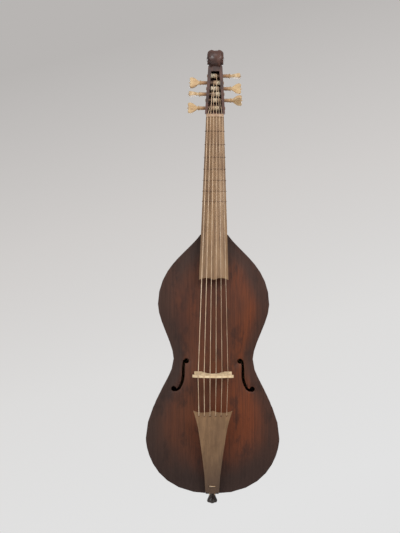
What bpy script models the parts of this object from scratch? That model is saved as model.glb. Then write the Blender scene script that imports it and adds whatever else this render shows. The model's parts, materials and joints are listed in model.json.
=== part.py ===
"""Tenor viol: six gut strings, seven tied frets, flat folded back, carved scroll.

Metres, +Z up along the body, +X towards the treble side, the belly faces -Y.
The origin is the middle of the end button's lower face.
"""
import math

import bmesh
import bpy
from mathutils import Matrix, Vector
from mathutils.bvhtree import BVHTree

# Clearances between pieces
SEAT_GAP = 0.0003
TURNING_GAP = 0.00035
WINDING_GAP = 0.0006

# Body outline, heights above the belly's bottom edge
BODY_LENGTH = 0.628
LOWER_BOUT_HALF = 0.162
LOWER_BOUT_HEIGHT = 0.134
WAIST_HALF = 0.096
WAIST_HEIGHT = 0.327
UPPER_BOUT_HALF = 0.135
UPPER_BOUT_HEIGHT = 0.459
SHOULDER_HALF = 0.072
SHOULDER_HEIGHT = 0.586
SHOULDER_LEAN = math.radians(45)
NECK_JOINT_HALF = 0.0335
NECK_JOINT_LEAN = math.radians(36)

# Shell of the body
RIB_DEPTH = 0.112
RIB_DEPTH_AT_NECK = 0.078
RIB_THICKNESS = 0.002
EDGE_OVERHANG = 0.003
FOLD_HEIGHT = 0.505
BELLY_THICKNESS = 0.004
BELLY_RISE = 0.018
BELLY_EDGE_FLAT = 0.007
BACK_THICKNESS = 0.0035

# Frame inside the body
LINING_DEPTH = 0.006
LINING_THICKNESS = 0.002
NECK_BLOCK_LENGTH = 0.028
TAIL_BLOCK_LENGTH = 0.022
TAIL_BLOCK_WIDTH = 0.06
BASS_BAR_LENGTH = 0.33
BASS_BAR_WIDTH = 0.006
BASS_BAR_DEPTH = 0.013
BASS_BAR_OFFSET = 0.022
POST_RADIUS = 0.005
POST_OFFSET = 0.026
POST_BELOW_BRIDGE = 0.012
BRACE_THICKNESS = 0.004
BRACE_WIDTH = 0.018
POST_PLATE_WIDTH = 0.07
BRACE_SPACING = 0.15

# Sound holes, distances from the middle and above the belly's bottom edge
UPPER_EYE = (0.0647, 0.3223)
UPPER_EYE_RADIUS = 0.0063
LOWER_EYE = (0.0949, 0.2543)
LOWER_EYE_RADIUS = 0.0064
STEM_HALF_WIDTH = 0.0033
STEM_OUTWARD = 0.0075
STEM_LOWER_BEND = 0.018

# Neck and fingerboard
BOARD_LENGTH = 0.3975
BOARD_OVER_BELLY = 0.1095
BOARD_HALF_AT_NUT = 0.0218
BOARD_HALF_AT_END = 0.0354
BOARD_CROWN_RADIUS = 0.066
BOARD_THICKNESS_AT_NUT = 0.009
BOARD_THICKNESS_AT_END = 0.0178
BOARD_END_DIP = 0.005
BOARD_SLOPE = 0.14
NECK_OVERSTAND = 0.0142
NECK_THICKNESS_AT_NUT = 0.0175
NECK_THICKNESS_AT_HEEL = 0.021
HEEL_LENGTH = 0.062
NUT_LENGTH = 0.008
NUT_RISE = 0.0026
NUT_BACK_DROP = 0.0038

# Tied frets, distances down the board from its nut end
FRET_RADIUS = 0.0006
FRET_TRAVEL = 0.003
SEMITONE = 2 ** (1 / 12)
FRET_COUNT = 7

# Pegbox and scroll, distances along the leaning front edge of the pegbox
PEGBOX_LEAN = math.radians(16)
PEGBOX_STEP_BACK = 0.0055
PEGBOX_HALF_AT_NUT = 0.0246
PEGBOX_HALF_AT_THROAT = 0.0176
PEGBOX_DEPTH = 0.029
SLOT_WALL_AT_NUT = 0.0056
SLOT_WALL_AT_THROAT = 0.0085
SLOT_DEPTH = 0.0225
SLOT_START = 0.0015
SLOT_FLOOR = 0.005
SLOT_PAST_LAST_PEG = 0.0075
THROAT_LENGTH = 0.012
PEG_STATIONS = (0.0205, 0.0415, 0.058, 0.073, 0.0885, 0.1075)
PEG_AXIS_DEPTH = 0.013
SCROLL_RADIUS = 0.033
SCROLL_TIGHTENING = 0.55
SCROLL_TURNS = 2.4
SCROLL_CREST_HALF = 0.0098
SCROLL_EYE_HALF = 0.0212
SCROLL_ROOT_HALF = 0.0135
SCROLL_FLUTE_DEPTH = 0.0022
SCROLL_EYE_BEHIND_FRONT = 0.006

# Pegs
PEG_RADIUS_AT_HEAD = 0.0044
PEG_RADIUS_AT_TIP = 0.0037
PEG_TIP_PROUD = 0.0015
PEG_SHANK_LENGTH = 0.0155
PEG_COLLAR_RADIUS = 0.0064
PEG_COLLAR_WIDTH = 0.0026
PEG_WAIST_RADIUS = 0.0036
PEG_HEAD_LENGTH = 0.0255
PEG_HEAD_HALF = 0.0132
PEG_HEAD_THICKNESS = 0.0118
PEG_PIP_RADIUS = 0.0016

# Strings, bass to treble
STRING_RADII = (0.0009, 0.0008, 0.0007, 0.0006, 0.0005, 0.00045)
STRING_SPREAD_AT_NUT = 0.035
STRING_SPREAD_AT_BRIDGE = 0.07
STRING_SPREAD_AT_TAIL = 0.066
STRING_TURNS = 3
TURN_POINTS = 14

# Bridge
BRIDGE_HEIGHT_ON_BODY = 0.292
BRIDGE_HEIGHT = 0.075
BRIDGE_FEET_SPAN = 0.09
BRIDGE_FOOT_WIDTH = 0.019
BRIDGE_TOP_HALF = 0.0485
BRIDGE_CROWN_RADIUS = 0.072
BRIDGE_THICKNESS_AT_FEET = 0.0115
BRIDGE_THICKNESS_AT_TOP = 0.004

# Tailpiece, button and saddle
TAILPIECE_LENGTH = 0.2055
TAILPIECE_FRONT_AT_TOP = 0.064
TAILPIECE_FRONT_AT_END = 0.018
TAILPIECE_HALF_AT_TOP = 0.0465
TAILPIECE_HALF_AT_END = 0.0165
TAILPIECE_THICKNESS = 0.0065
TAILPIECE_END_HEIGHT = 0.003
TAIL_HOLE_BELOW_EDGE = 0.0125
TAIL_HOLE_RADIUS = 0.0018
GUT_RADIUS = 0.0014
GUT_HOLE_SPREAD = 0.0125
GUT_HOLE_HEIGHT = 0.0185
SADDLE_HALF = 0.016
SADDLE_THICKNESS = 0.005
SADDLE_RISE = 0.003
BUTTON_REACH = 0.038
BUTTON_BEHIND_BELLY = 0.052
BUTTON_NECK_RADIUS = 0.0064
BUTTON_HEAD_RADIUS = 0.0127
BUTTON_SHANK_RADIUS = 0.005
BUTTON_NUB_RADIUS = 0.004

# Derived levels, in a frame whose Y = 0 is the belly's glued edge
BODY_BOTTOM = BUTTON_REACH - EDGE_OVERHANG
BODY_TOP = BODY_BOTTOM + BODY_LENGTH
BRIDGE_Z = BODY_BOTTOM + BRIDGE_HEIGHT_ON_BODY
BOARD_END_Z = BODY_TOP - BOARD_OVER_BELLY
BOARD_NUT_Z = BOARD_END_Z + BOARD_LENGTH
PEGBOX_Z = BOARD_NUT_Z + NUT_LENGTH + 2 * SEAT_GAP
RIB_INSET = EDGE_OVERHANG + RIB_THICKNESS
LINING_INSET = RIB_INSET + SEAT_GAP + LINING_THICKNESS
CORNER_STEPS = (9, 6, 6, 6, 4)
COLUMNS = [-1, -0.93, -0.8, -0.62, -0.42, -0.2, 0, 0.2, 0.42, 0.62, 0.8, 0.93, 1]
BOARD_COLUMNS = [-1, -0.75, -0.5, -0.25, 0, 0.25, 0.5, 0.75, 1]


def lerp(a, b, t):
    return a + (b - a) * t


def interpolate(value, pairs):
    """Piecewise linear value from a list of (station, value) pairs."""
    for (s0, v0), (s1, v1) in zip(pairs, pairs[1:]):
        if value <= s1:
            return lerp(v0, v1, max(0.0, (value - s0) / max(s1 - s0, 1e-9)))
    return pairs[-1][1]


# Looks
def make_look(name, colour, roughness):
    look = bpy.data.materials.new(name)
    look.use_nodes = True
    shader = look.node_tree.nodes["Principled BSDF"]
    shader.inputs["Base Color"].default_value = (*colour, 1)
    shader.inputs["Roughness"].default_value = roughness
    return look


# Building blocks
def clear_scene():
    for obj in list(bpy.data.objects):
        bpy.data.objects.remove(obj, do_unlink=True)


def make_folder(name):
    folder = bpy.data.collections.new(name)
    bpy.context.scene.collection.children.link(folder)
    return folder


def add_piece(name, data, look, root, folder):
    """Link a mesh or curve as one named piece under the root empty."""
    obj = bpy.data.objects.new(name, data)
    data.materials.clear()
    data.materials.append(look)
    folder.objects.link(obj)
    obj.parent = root
    return obj


def finish_mesh(name, bm):
    bmesh.ops.remove_doubles(bm, verts=bm.verts, dist=1e-7)
    bmesh.ops.recalc_face_normals(bm, faces=bm.faces)
    mesh = bpy.data.meshes.new(name)
    bm.to_mesh(mesh)
    bm.free()
    mesh.shade_smooth()
    mesh.set_sharp_from_angle(angle=math.radians(35))
    return mesh


def slab(name, fronts, backs, ends=True):
    """Closed solid between two grids of points with the same rows and columns."""
    bm = bmesh.new()
    front = [[bm.verts.new(p) for p in row] for row in fronts]
    back = [[bm.verts.new(p) for p in row] for row in backs]
    last_row = len(front) - 1
    last_column = len(front[0]) - 1
    for grid in (front, back):
        for low, high in zip(grid, grid[1:]):
            for c in range(last_column):
                bm.faces.new((low[c], low[c + 1], high[c + 1], high[c]))
    for r in range(last_row):
        for c in (0, last_column):
            bm.faces.new((front[r][c], front[r + 1][c], back[r + 1][c], back[r][c]))
    for c in range(last_column if ends else 0):
        for r in (0, last_row):
            bm.faces.new((front[r][c], front[r][c + 1], back[r][c + 1], back[r][c]))
    return finish_mesh(name, bm)


def loft(name, rings):
    """Closed solid through rings of points, with a flat cap on each end."""
    bm = bmesh.new()
    loops = [[bm.verts.new(p) for p in ring] for ring in rings]
    count = len(rings[0])
    for low, high in zip(loops, loops[1:]):
        for i in range(count):
            j = (i + 1) % count
            bm.faces.new((low[i], low[j], high[j], high[i]))
    bm.faces.new(loops[0])
    bm.faces.new(loops[-1])
    return finish_mesh(name, bm)


def box(name, low, high):
    bm = bmesh.new()
    size = [b - a for a, b in zip(low, high)]
    middle = [(a + b) / 2 for a, b in zip(low, high)]
    bmesh.ops.create_cube(bm, size=1, matrix=Matrix.Translation(middle) @ Matrix.Diagonal((*size, 1)))
    return finish_mesh(name, bm)


def cone_between(name, start, end, start_radius, end_radius, sides):
    """Cylinder or cone from start to end."""
    bm = bmesh.new()
    axis = Vector(end) - Vector(start)
    turn = axis.to_track_quat("Z", "Y").to_matrix().to_4x4()
    place = Matrix.Translation((Vector(start) + Vector(end)) / 2) @ turn
    bmesh.ops.create_cone(bm, cap_ends=True, segments=sides, radius1=start_radius, radius2=end_radius,
                          depth=axis.length, matrix=place)
    return finish_mesh(name, bm)


def tube_curve(name, points, radius, swell=None, cyclic=False):
    """Round tube along the points; swell gives a share of the radius at chosen points."""
    curve = bpy.data.curves.new(name, "CURVE")
    curve.dimensions = "3D"
    curve.bevel_depth = radius
    curve.bevel_resolution = 1
    curve.use_fill_caps = not cyclic
    spline = curve.splines.new("POLY")
    spline.points.add(len(points) - 1)
    for i, point in enumerate(points):
        spline.points[i].co = (*point, 1)
        spline.points[i].radius = (swell or {}).get(i, 1)
    spline.use_cyclic_u = cyclic
    return curve


def outline_plate(name, outline, thickness):
    """Flat plate in the XY plane of its object, from a closed 2D outline."""
    curve = bpy.data.curves.new(name, "CURVE")
    curve.dimensions = "2D"
    curve.fill_mode = "BOTH"
    curve.extrude = thickness / 2
    spline = curve.splines.new("POLY")
    spline.points.add(len(outline) - 1)
    for i, (x, y) in enumerate(outline):
        spline.points[i].co = (x, y, 0, 1)
    spline.use_cyclic_u = True
    return mesh_of(name, curve)


def mesh_of(name, curve):
    """Welded mesh of a curve."""
    holder = bpy.data.objects.new(name, curve)
    bpy.context.scene.collection.objects.link(holder)
    graph = bpy.context.evaluated_depsgraph_get()
    mesh = bpy.data.meshes.new_from_object(holder.evaluated_get(graph))
    bpy.data.objects.remove(holder, do_unlink=True)
    bm = bmesh.new()
    bm.from_mesh(mesh)
    bmesh.ops.remove_doubles(bm, verts=bm.verts, dist=1e-6)
    return finish_mesh(name, bm)


def turned(name, profile, sides, folder):
    """Object turned about its local Z from (radius, height) pairs, listed top to bottom."""
    mesh = bpy.data.meshes.new(name)
    mesh.from_pydata([(r, 0, z) for r, z in profile], [(i, i + 1) for i in range(len(profile) - 1)], [])
    obj = bpy.data.objects.new(name, mesh)
    folder.objects.link(obj)
    screw = obj.modifiers.new("turn", "SCREW")
    screw.axis = "Z"
    screw.steps = sides
    screw.render_steps = sides
    screw.use_merge_vertices = True
    screw.merge_threshold = 0.00001
    return obj


def settled_mesh(name, obj):
    """Mesh of an object with its modifiers applied; the object is removed."""
    graph = bpy.context.evaluated_depsgraph_get()
    mesh = bpy.data.meshes.new_from_object(obj.evaluated_get(graph))
    bpy.data.objects.remove(obj, do_unlink=True)
    bm = bmesh.new()
    bm.from_mesh(mesh)
    return finish_mesh(name, bm)


def shape(target, kind, mesh, root, cutters):
    """Boolean modifier on target with a hidden solid from the cutters' collection."""
    tool = bpy.data.objects.new(mesh.name, mesh)
    cutters.objects.link(tool)
    tool.parent = root
    tool.hide_render = True
    tool.display_type = "WIRE"
    step = target.modifiers.new(mesh.name, "BOOLEAN")
    step.operation = kind
    step.solver = "EXACT"
    step.object = tool
    return tool


# Outline of the body
def bezier(p0, p1, p2, p3, steps):
    points = []
    for i in range(1, steps + 1):
        t = i / steps
        a, b, c, d = (1 - t) ** 3, 3 * (1 - t) ** 2 * t, 3 * (1 - t) * t ** 2, t ** 3
        points.append(tuple(a * q0 + b * q1 + c * q2 + d * q3 for q0, q1, q2, q3 in zip(p0, p1, p2, p3)))
    return points


def body_outline():
    """Treble half of the edge as (x, z), from the bottom centre to the neck joint and a little past it."""
    lower = (LOWER_BOUT_HALF, LOWER_BOUT_HEIGHT)
    waist = (WAIST_HALF, WAIST_HEIGHT)
    upper = (UPPER_BOUT_HALF, UPPER_BOUT_HEIGHT)
    shoulder = (SHOULDER_HALF, SHOULDER_HEIGHT)
    joint = (NECK_JOINT_HALF, BODY_LENGTH)
    to_waist = WAIST_HEIGHT - LOWER_BOUT_HEIGHT
    to_upper = UPPER_BOUT_HEIGHT - WAIST_HEIGHT
    to_shoulder = SHOULDER_HEIGHT - UPPER_BOUT_HEIGHT
    to_joint = BODY_LENGTH - SHOULDER_HEIGHT
    lean = (-math.sin(SHOULDER_LEAN), math.cos(SHOULDER_LEAN))
    last = (-math.sin(NECK_JOINT_LEAN), math.cos(NECK_JOINT_LEAN))
    pull = 0.27 * to_shoulder
    reach = 0.42 * to_joint
    spans = (
        ((0, 0), (0.93 * LOWER_BOUT_HALF, 0), (LOWER_BOUT_HALF, 0.875 * LOWER_BOUT_HEIGHT), lower),
        (lower, (LOWER_BOUT_HALF, LOWER_BOUT_HEIGHT + 0.42 * to_waist),
         (WAIST_HALF, WAIST_HEIGHT - 0.265 * to_waist), waist),
        (waist, (WAIST_HALF, WAIST_HEIGHT + 0.27 * to_upper),
         (UPPER_BOUT_HALF, UPPER_BOUT_HEIGHT - 0.3 * to_upper), upper),
        (upper, (UPPER_BOUT_HALF, UPPER_BOUT_HEIGHT + 0.52 * to_shoulder),
         (shoulder[0] - pull * lean[0], shoulder[1] - pull * lean[1]), shoulder),
        (shoulder, (shoulder[0] + pull * lean[0], shoulder[1] + pull * lean[1]),
         (joint[0] - reach * last[0], joint[1] - reach * last[1]), joint),
    )
    points = [(0.0, 0.0)]
    for span, steps in zip(spans, CORNER_STEPS):
        points += bezier(*span, steps)
    points.append((joint[0] + 2 * RIB_INSET * last[0], joint[1] + 2 * RIB_INSET * last[1]))
    return [(x, z + BODY_BOTTOM) for x, z in points]


def inset(points, distance):
    """Outline moved inwards, mitred at each point."""
    moved = []
    for i, (x, z) in enumerate(points):
        before = points[max(i - 1, 0)]
        after = points[min(i + 1, len(points) - 1)]
        n1 = Vector((z - before[1], before[0] - x))
        n2 = Vector((after[1] - z, x - after[0]))
        if i == 0:
            n1 = Vector((0, -1))
            n2 = n1
        if i == len(points) - 1:
            n2 = n1
        middle = (n1.normalized() + n2.normalized()).normalized()
        step = distance / middle.dot(n1.normalized())
        moved.append((x - middle.x * step, z - middle.y * step))
    return moved


def between_levels(points, low, high):
    """The stretch of an outline from one height to another, with a point at each."""
    inner = [p for p in points if low < p[1] < high]
    return [(half_width(low, points), low)] + inner + [(half_width(high, points), high)]


def with_fold(points):
    """The outline with one more point exactly at the fold of the back."""
    fold = BODY_BOTTOM + FOLD_HEIGHT
    result = [points[0]]
    for (x0, z0), (x1, z1) in zip(points, points[1:]):
        if z0 < fold < z1:
            result.append((lerp(x0, x1, (fold - z0) / (z1 - z0)), fold))
        result.append((x1, z1))
    return result


def half_width(z, edge):
    """Half-width of an outline at a height."""
    for (x0, z0), (x1, z1) in zip(edge, edge[1:]):
        if min(z0, z1) <= z <= max(z0, z1) and z1 != z0:
            return lerp(x0, x1, (z - z0) / (z1 - z0))
    return 0.0


def back_y(z):
    """Front face of the back plate: flat up to the fold, then leaning in to the neck."""
    fold = BODY_BOTTOM + FOLD_HEIGHT
    flat = RIB_DEPTH + 2 * SEAT_GAP
    if z <= fold:
        return flat
    return lerp(flat, RIB_DEPTH_AT_NECK + 2 * SEAT_GAP, (z - fold) / (BODY_TOP - fold))


def belly_front(x, z, edge):
    """Carved outer face of the belly: a flat rim, then a swelling arch."""
    across = half_width(z, edge) - BELLY_EDGE_FLAT
    along = BODY_LENGTH / 2 - BELLY_EDGE_FLAT
    u = min(1, abs(x) / across) if across > 0 else 1
    q = min(1, abs(z - BODY_BOTTOM - BODY_LENGTH / 2) / along)
    return -BELLY_THICKNESS - BELLY_RISE * (1 - u * u) ** 1.5 * (1 - q ** 2.6) ** 1.3


# Body
def build_body(edge, looks, root, folder, cutters):
    wood = looks["varnished_spruce"]
    stations = between_levels(edge, BODY_BOTTOM, BODY_TOP)
    fronts = [[(x * c, belly_front(x * c, z, edge), z) for c in COLUMNS] for x, z in stations]
    backs = [[(x, y + BELLY_THICKNESS, z) for x, y, z in row] for row in fronts]
    belly = add_piece("belly", slab("belly", fronts, backs), wood, root, folder)
    surface = BVHTree.FromPolygons([v.co.copy() for v in belly.data.vertices],
                                   [tuple(f.vertices) for f in belly.data.polygons])
    for side in (-1, 1):
        for mesh in sound_hole_cutters(side):
            shape(belly, "DIFFERENCE", mesh, root, cutters)
    notch = box("saddle_notch", (-SADDLE_HALF - SEAT_GAP, -2 * BELLY_THICKNESS, BODY_BOTTOM - SADDLE_THICKNESS),
                (SADDLE_HALF + SEAT_GAP, BELLY_THICKNESS, BODY_BOTTOM + SADDLE_THICKNESS + SEAT_GAP))
    shape(belly, "DIFFERENCE", notch, root, cutters)

    rows = between_levels(with_fold(edge), BODY_BOTTOM, BODY_TOP)
    fronts = [[(-x, back_y(z), z), (x, back_y(z), z)] for x, z in rows]
    backs = [[(x, y + BACK_THICKNESS, z) for x, y, z in row] for row in fronts]
    add_piece("back", slab("back", fronts, backs), looks["varnished_maple"], root, folder)

    bore = cone_between("rib_bore", (0, BUTTON_BEHIND_BELLY, 0), (0, BUTTON_BEHIND_BELLY, 2 * BODY_BOTTOM),
                        BUTTON_SHANK_RADIUS + TURNING_GAP, BUTTON_SHANK_RADIUS + TURNING_GAP, 16)
    rear = lambda z: back_y(z) - SEAT_GAP
    for side, word in ((-1, "bass"), (1, "treble")):
        rib = strip(f"rib_{word}", edge, EDGE_OVERHANG, RIB_INSET, side, lambda z: SEAT_GAP, rear,
                    BODY_BOTTOM, BODY_TOP)
        rib = add_piece(f"rib_{word}", rib, looks["varnished_maple"], root, folder)
        shape(rib, "DIFFERENCE", bore.copy(), root, cutters)
        add_lining(f"front_lining_{word}", edge, side, lambda z: SEAT_GAP,
                   lambda z: SEAT_GAP + LINING_DEPTH, looks, root, folder)
        add_lining(f"back_lining_{word}", edge, side, lambda z: back_y(z) - SEAT_GAP - LINING_DEPTH,
                   rear, looks, root, folder)
    build_blocks(edge, bore, looks, root, folder, cutters)
    build_bars(edge, surface, looks, root, folder)
    return surface


def sound_hole_cutters(side):
    """Two round eyes and the stem that leaves the upper one outwards and sweeps under the lower one."""
    reach = 2 * (BELLY_THICKNESS + BELLY_RISE)
    meshes = []
    for word, (x, z), radius in (("upper", UPPER_EYE, UPPER_EYE_RADIUS), ("lower", LOWER_EYE, LOWER_EYE_RADIUS)):
        middle = (side * x, BODY_BOTTOM + z)
        meshes.append(cone_between(f"{word}_eye", (middle[0], -reach, middle[1]), (middle[0], reach, middle[1]),
                                   radius, radius, 18))
    width = STEM_HALF_WIDTH
    outer = UPPER_EYE[0] + STEM_OUTWARD
    foot = LOWER_EYE[1] - LOWER_EYE_RADIUS
    path = [(UPPER_EYE[0] + 0.3 * STEM_OUTWARD, UPPER_EYE[1] + 0.55 * UPPER_EYE_RADIUS, 0.5 * width),
            (UPPER_EYE[0] + 0.75 * STEM_OUTWARD, UPPER_EYE[1], 0.9 * width),
            (outer, UPPER_EYE[1] - STEM_LOWER_BEND, width),
            (outer, LOWER_EYE[1] + 1.85 * STEM_LOWER_BEND, 1.1 * width),
            (lerp(outer, LOWER_EYE[0], 0.06), LOWER_EYE[1] + 1.2 * STEM_LOWER_BEND, 1.1 * width),
            (lerp(outer, LOWER_EYE[0], 0.2), LOWER_EYE[1] + 0.65 * STEM_LOWER_BEND, 1.05 * width),
            (lerp(outer, LOWER_EYE[0], 0.43), LOWER_EYE[1] + 0.08 * STEM_LOWER_BEND, width),
            (lerp(outer, LOWER_EYE[0], 0.72), foot + width, 0.9 * width),
            (LOWER_EYE[0], foot + 0.75 * width, 0.7 * width)]
    left, right = [], []
    for i, (x, z, half) in enumerate(path):
        before, after = path[max(i - 1, 0)], path[min(i + 1, len(path) - 1)]
        run = Vector((after[0] - before[0], after[1] - before[1])).normalized()
        left.append((side * (x - run.y * half), z + run.x * half + BODY_BOTTOM))
        right.append((side * (x + run.y * half), z - run.x * half + BODY_BOTTOM))
    fronts = [[(a[0], -reach, a[1]), (b[0], -reach, b[1])] for a, b in zip(left, right)]
    backs = [[(x, reach, z) for x, y, z in row] for row in fronts]
    meshes.append(slab("stem", fronts, backs))
    return meshes


def strip(name, edge, outer_inset, inner_inset, side, front, rear, low, high):
    """Bent strip standing along the outline between two insets, on one side of the middle."""
    outer = inset(edge, outer_inset)
    inner = inset(edge, inner_inset)
    rows_out, rows_in = [], []
    for (xo, zo), (xi, zi) in zip(outer, inner):
        if zo < low + 1e-6 and low > outer[0][1] or zi > high:
            continue
        rows_out.append((xo, zo))
        rows_in.append((xi, zi))
    if low > outer[0][1] + 1e-6:
        rows_out.insert(0, (half_width(low, outer), low))
        rows_in.insert(0, (half_width(low, inner), low))
    else:
        rows_out[0] = (SEAT_GAP / 2, rows_out[0][1])
        rows_in[0] = (SEAT_GAP / 2, rows_in[0][1])
    rows_out = [p for p in rows_out if p[1] < high]
    rows_in = rows_in[:len(rows_out)]
    rows_out.append((half_width(high, outer), high))
    rows_in.append((half_width(high, inner), high))
    fronts = [[(side * x, front(z), z), (side * x, rear(z), z)] for x, z in rows_out]
    backs = [[(side * x, front(z), z), (side * x, rear(z), z)] for x, z in rows_in]
    return slab(name, fronts, backs)


def add_lining(name, edge, side, front, rear, looks, root, folder):
    """Lining glued inside a rib, from the tail block to the neck block."""
    low = BODY_BOTTOM + RIB_INSET + TAIL_BLOCK_LENGTH
    high = BODY_TOP - NECK_BLOCK_LENGTH - SEAT_GAP
    half = TAIL_BLOCK_WIDTH / 2 + SEAT_GAP
    outer = inset(with_fold(edge), RIB_INSET + SEAT_GAP)
    inner = inset(with_fold(edge), LINING_INSET)
    rows = [(o, i) for o, i in zip(outer, inner) if i[0] > half + LINING_THICKNESS and max(o[1], i[1]) < high
            or i[1] > low and max(o[1], i[1]) < high]
    rows.append(((half_width(high, outer), high), (half_width(high, inner), high)))
    fronts = [[(side * o[0], front(o[1]), o[1]), (side * o[0], rear(o[1]), o[1])] for o, i in rows]
    backs = [[(side * i[0], front(i[1]), i[1]), (side * i[0], rear(i[1]), i[1])] for o, i in rows]
    add_piece(name, slab(name, fronts, backs), looks["bare_spruce"], root, folder)


def build_blocks(edge, bore, looks, root, folder, cutters):
    """Neck block and tail block, shaped to the inside of the ribs."""
    inside = inset(with_fold(edge), RIB_INSET + SEAT_GAP)
    rows = between_levels(inside, BODY_TOP - NECK_BLOCK_LENGTH, BODY_TOP)
    fronts = [[(-x, SEAT_GAP, z), (x, SEAT_GAP, z)] for x, z in rows]
    backs = [[(-x, back_y(z) - SEAT_GAP, z), (x, back_y(z) - SEAT_GAP, z)] for x, z in rows]
    add_piece("neck_block", slab("neck_block", fronts, backs), looks["bare_spruce"], root, folder)
    half = TAIL_BLOCK_WIDTH / 2
    shelf = inside[0][1] + TAIL_BLOCK_LENGTH
    count = next(i for i, p in enumerate(inside) if p[0] >= half)
    reach = inside[1:count]
    (x0, z0), (x1, z1) = inside[count - 1], inside[count]
    corner = (half, lerp(z0, z1, (half - x0) / (x1 - x0)))
    floor = [(-x, z) for x, z in reversed(reach + [corner])] + [inside[0]] + reach + [corner]
    fronts = [[(x, SEAT_GAP, z), (x, SEAT_GAP, shelf)] for x, z in floor]
    rear = RIB_DEPTH + SEAT_GAP
    backs = [[(x, rear, z), (x, rear, shelf)] for x, z in floor]
    block = add_piece("tail_block", slab("tail_block", fronts, backs), looks["bare_spruce"], root, folder)
    shape(block, "DIFFERENCE", bore, root, cutters)


def build_bars(edge, surface, looks, root, folder):
    """Bass bar, sound post and the cross bars of the flat back."""
    def under_belly(x, z):
        hit = surface.ray_cast(Vector((x, RIB_DEPTH / 2, z)), Vector((0, -1, 0)))[0]
        return hit.y + 2 * SEAT_GAP

    middle = BRIDGE_Z
    count = 12
    fronts, backs = [], []
    for i in range(count + 1):
        t = i / count
        z = middle + (t - 0.5) * BASS_BAR_LENGTH
        depth = BASS_BAR_DEPTH * (0.25 + 0.75 * math.sin(math.pi * t) ** 0.7)
        ends = [-BASS_BAR_OFFSET - BASS_BAR_WIDTH / 2, -BASS_BAR_OFFSET + BASS_BAR_WIDTH / 2]
        level = max(under_belly(x, z) for x in ends)
        fronts.append([(x, level, z) for x in ends])
        backs.append([(x, level + depth, z) for x in ends])
    add_piece("bass_bar", slab("bass_bar", fronts, backs), looks["bare_spruce"], root, folder)

    flat = back_y(BODY_BOTTOM) - SEAT_GAP
    post_z = BRIDGE_Z - POST_BELOW_BRIDGE
    inside = inset(edge, LINING_INSET + SEAT_GAP)
    plate = BRACE_THICKNESS
    for name, z, width in (("lower_back_brace", post_z - BRACE_SPACING, BRACE_WIDTH),
                           ("sound_post_plate", post_z, POST_PLATE_WIDTH),
                           ("upper_back_brace", post_z + BRACE_SPACING, BRACE_WIDTH)):
        half = min(half_width(z + k * width / 2, inside) for k in (-1, -0.5, 0, 0.5, 1)) - SEAT_GAP
        bar = box(name, (-half, flat - plate, z - width / 2), (half, flat, z + width / 2))
        add_piece(name, bar, looks["bare_spruce"], root, folder)
    rings = [[], []]
    for i in range(12):
        a = 2 * math.pi * i / 12
        x, z = POST_OFFSET + POST_RADIUS * math.cos(a), post_z + POST_RADIUS * math.sin(a)
        rings[0].append((x, under_belly(x, z), z))
        rings[1].append((x, flat - plate - SEAT_GAP, z))
    level = max(p[1] for p in rings[0])
    rings[0] = [(x, level, z) for x, y, z in rings[0]]
    add_piece("sound_post", loft("sound_post", rings), looks["bare_spruce"], root, folder)


# Neck, fingerboard and nut
def board_under(z):
    """Flat glued face of the fingerboard."""
    at_joint = -NECK_OVERSTAND - BELLY_THICKNESS
    return at_joint + BOARD_SLOPE * (z - BODY_TOP)


def board_half(z):
    return lerp(BOARD_HALF_AT_END, BOARD_HALF_AT_NUT, (z - BOARD_END_Z) / BOARD_LENGTH)


def board_top(x, z):
    """Crowned playing face of the fingerboard."""
    thick = lerp(BOARD_THICKNESS_AT_END, BOARD_THICKNESS_AT_NUT, (z - BOARD_END_Z) / BOARD_LENGTH)
    return board_under(z) - thick + BOARD_CROWN_RADIUS - math.sqrt(BOARD_CROWN_RADIUS ** 2 - x * x)


def festoon(u):
    """Brace-shaped end: 0 at the corners and the middle point, 1 where it dips between them."""
    return math.sin(math.pi * abs(u)) ** 0.75


def neck_back(z):
    """Back of the neck, with the heel growing down to the back plate."""
    t = (z - BODY_TOP) / (BOARD_NUT_Z - BODY_TOP)
    plain = board_under(z) + lerp(NECK_THICKNESS_AT_HEEL, NECK_THICKNESS_AT_NUT, t)
    foot = RIB_DEPTH_AT_NECK + BACK_THICKNESS
    grow = max(0.0, 1 - (z - BODY_TOP) / HEEL_LENGTH) ** 2.4
    return lerp(plain, foot, grow)


def neck_ring(z, share=1.0):
    """Flat front and rounded back of the neck at one height, from the treble edge to the bass edge."""
    half = board_half(z) * share
    front = board_under(z) + SEAT_GAP
    depth = neck_back(z) - front
    points = []
    for i in range(11):
        a = math.pi * i / 10
        c, s = math.cos(a), math.sin(a)
        points.append((half * math.copysign(abs(c) ** 0.8, c), front + depth * s ** 0.8, z))
    return points


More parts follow.
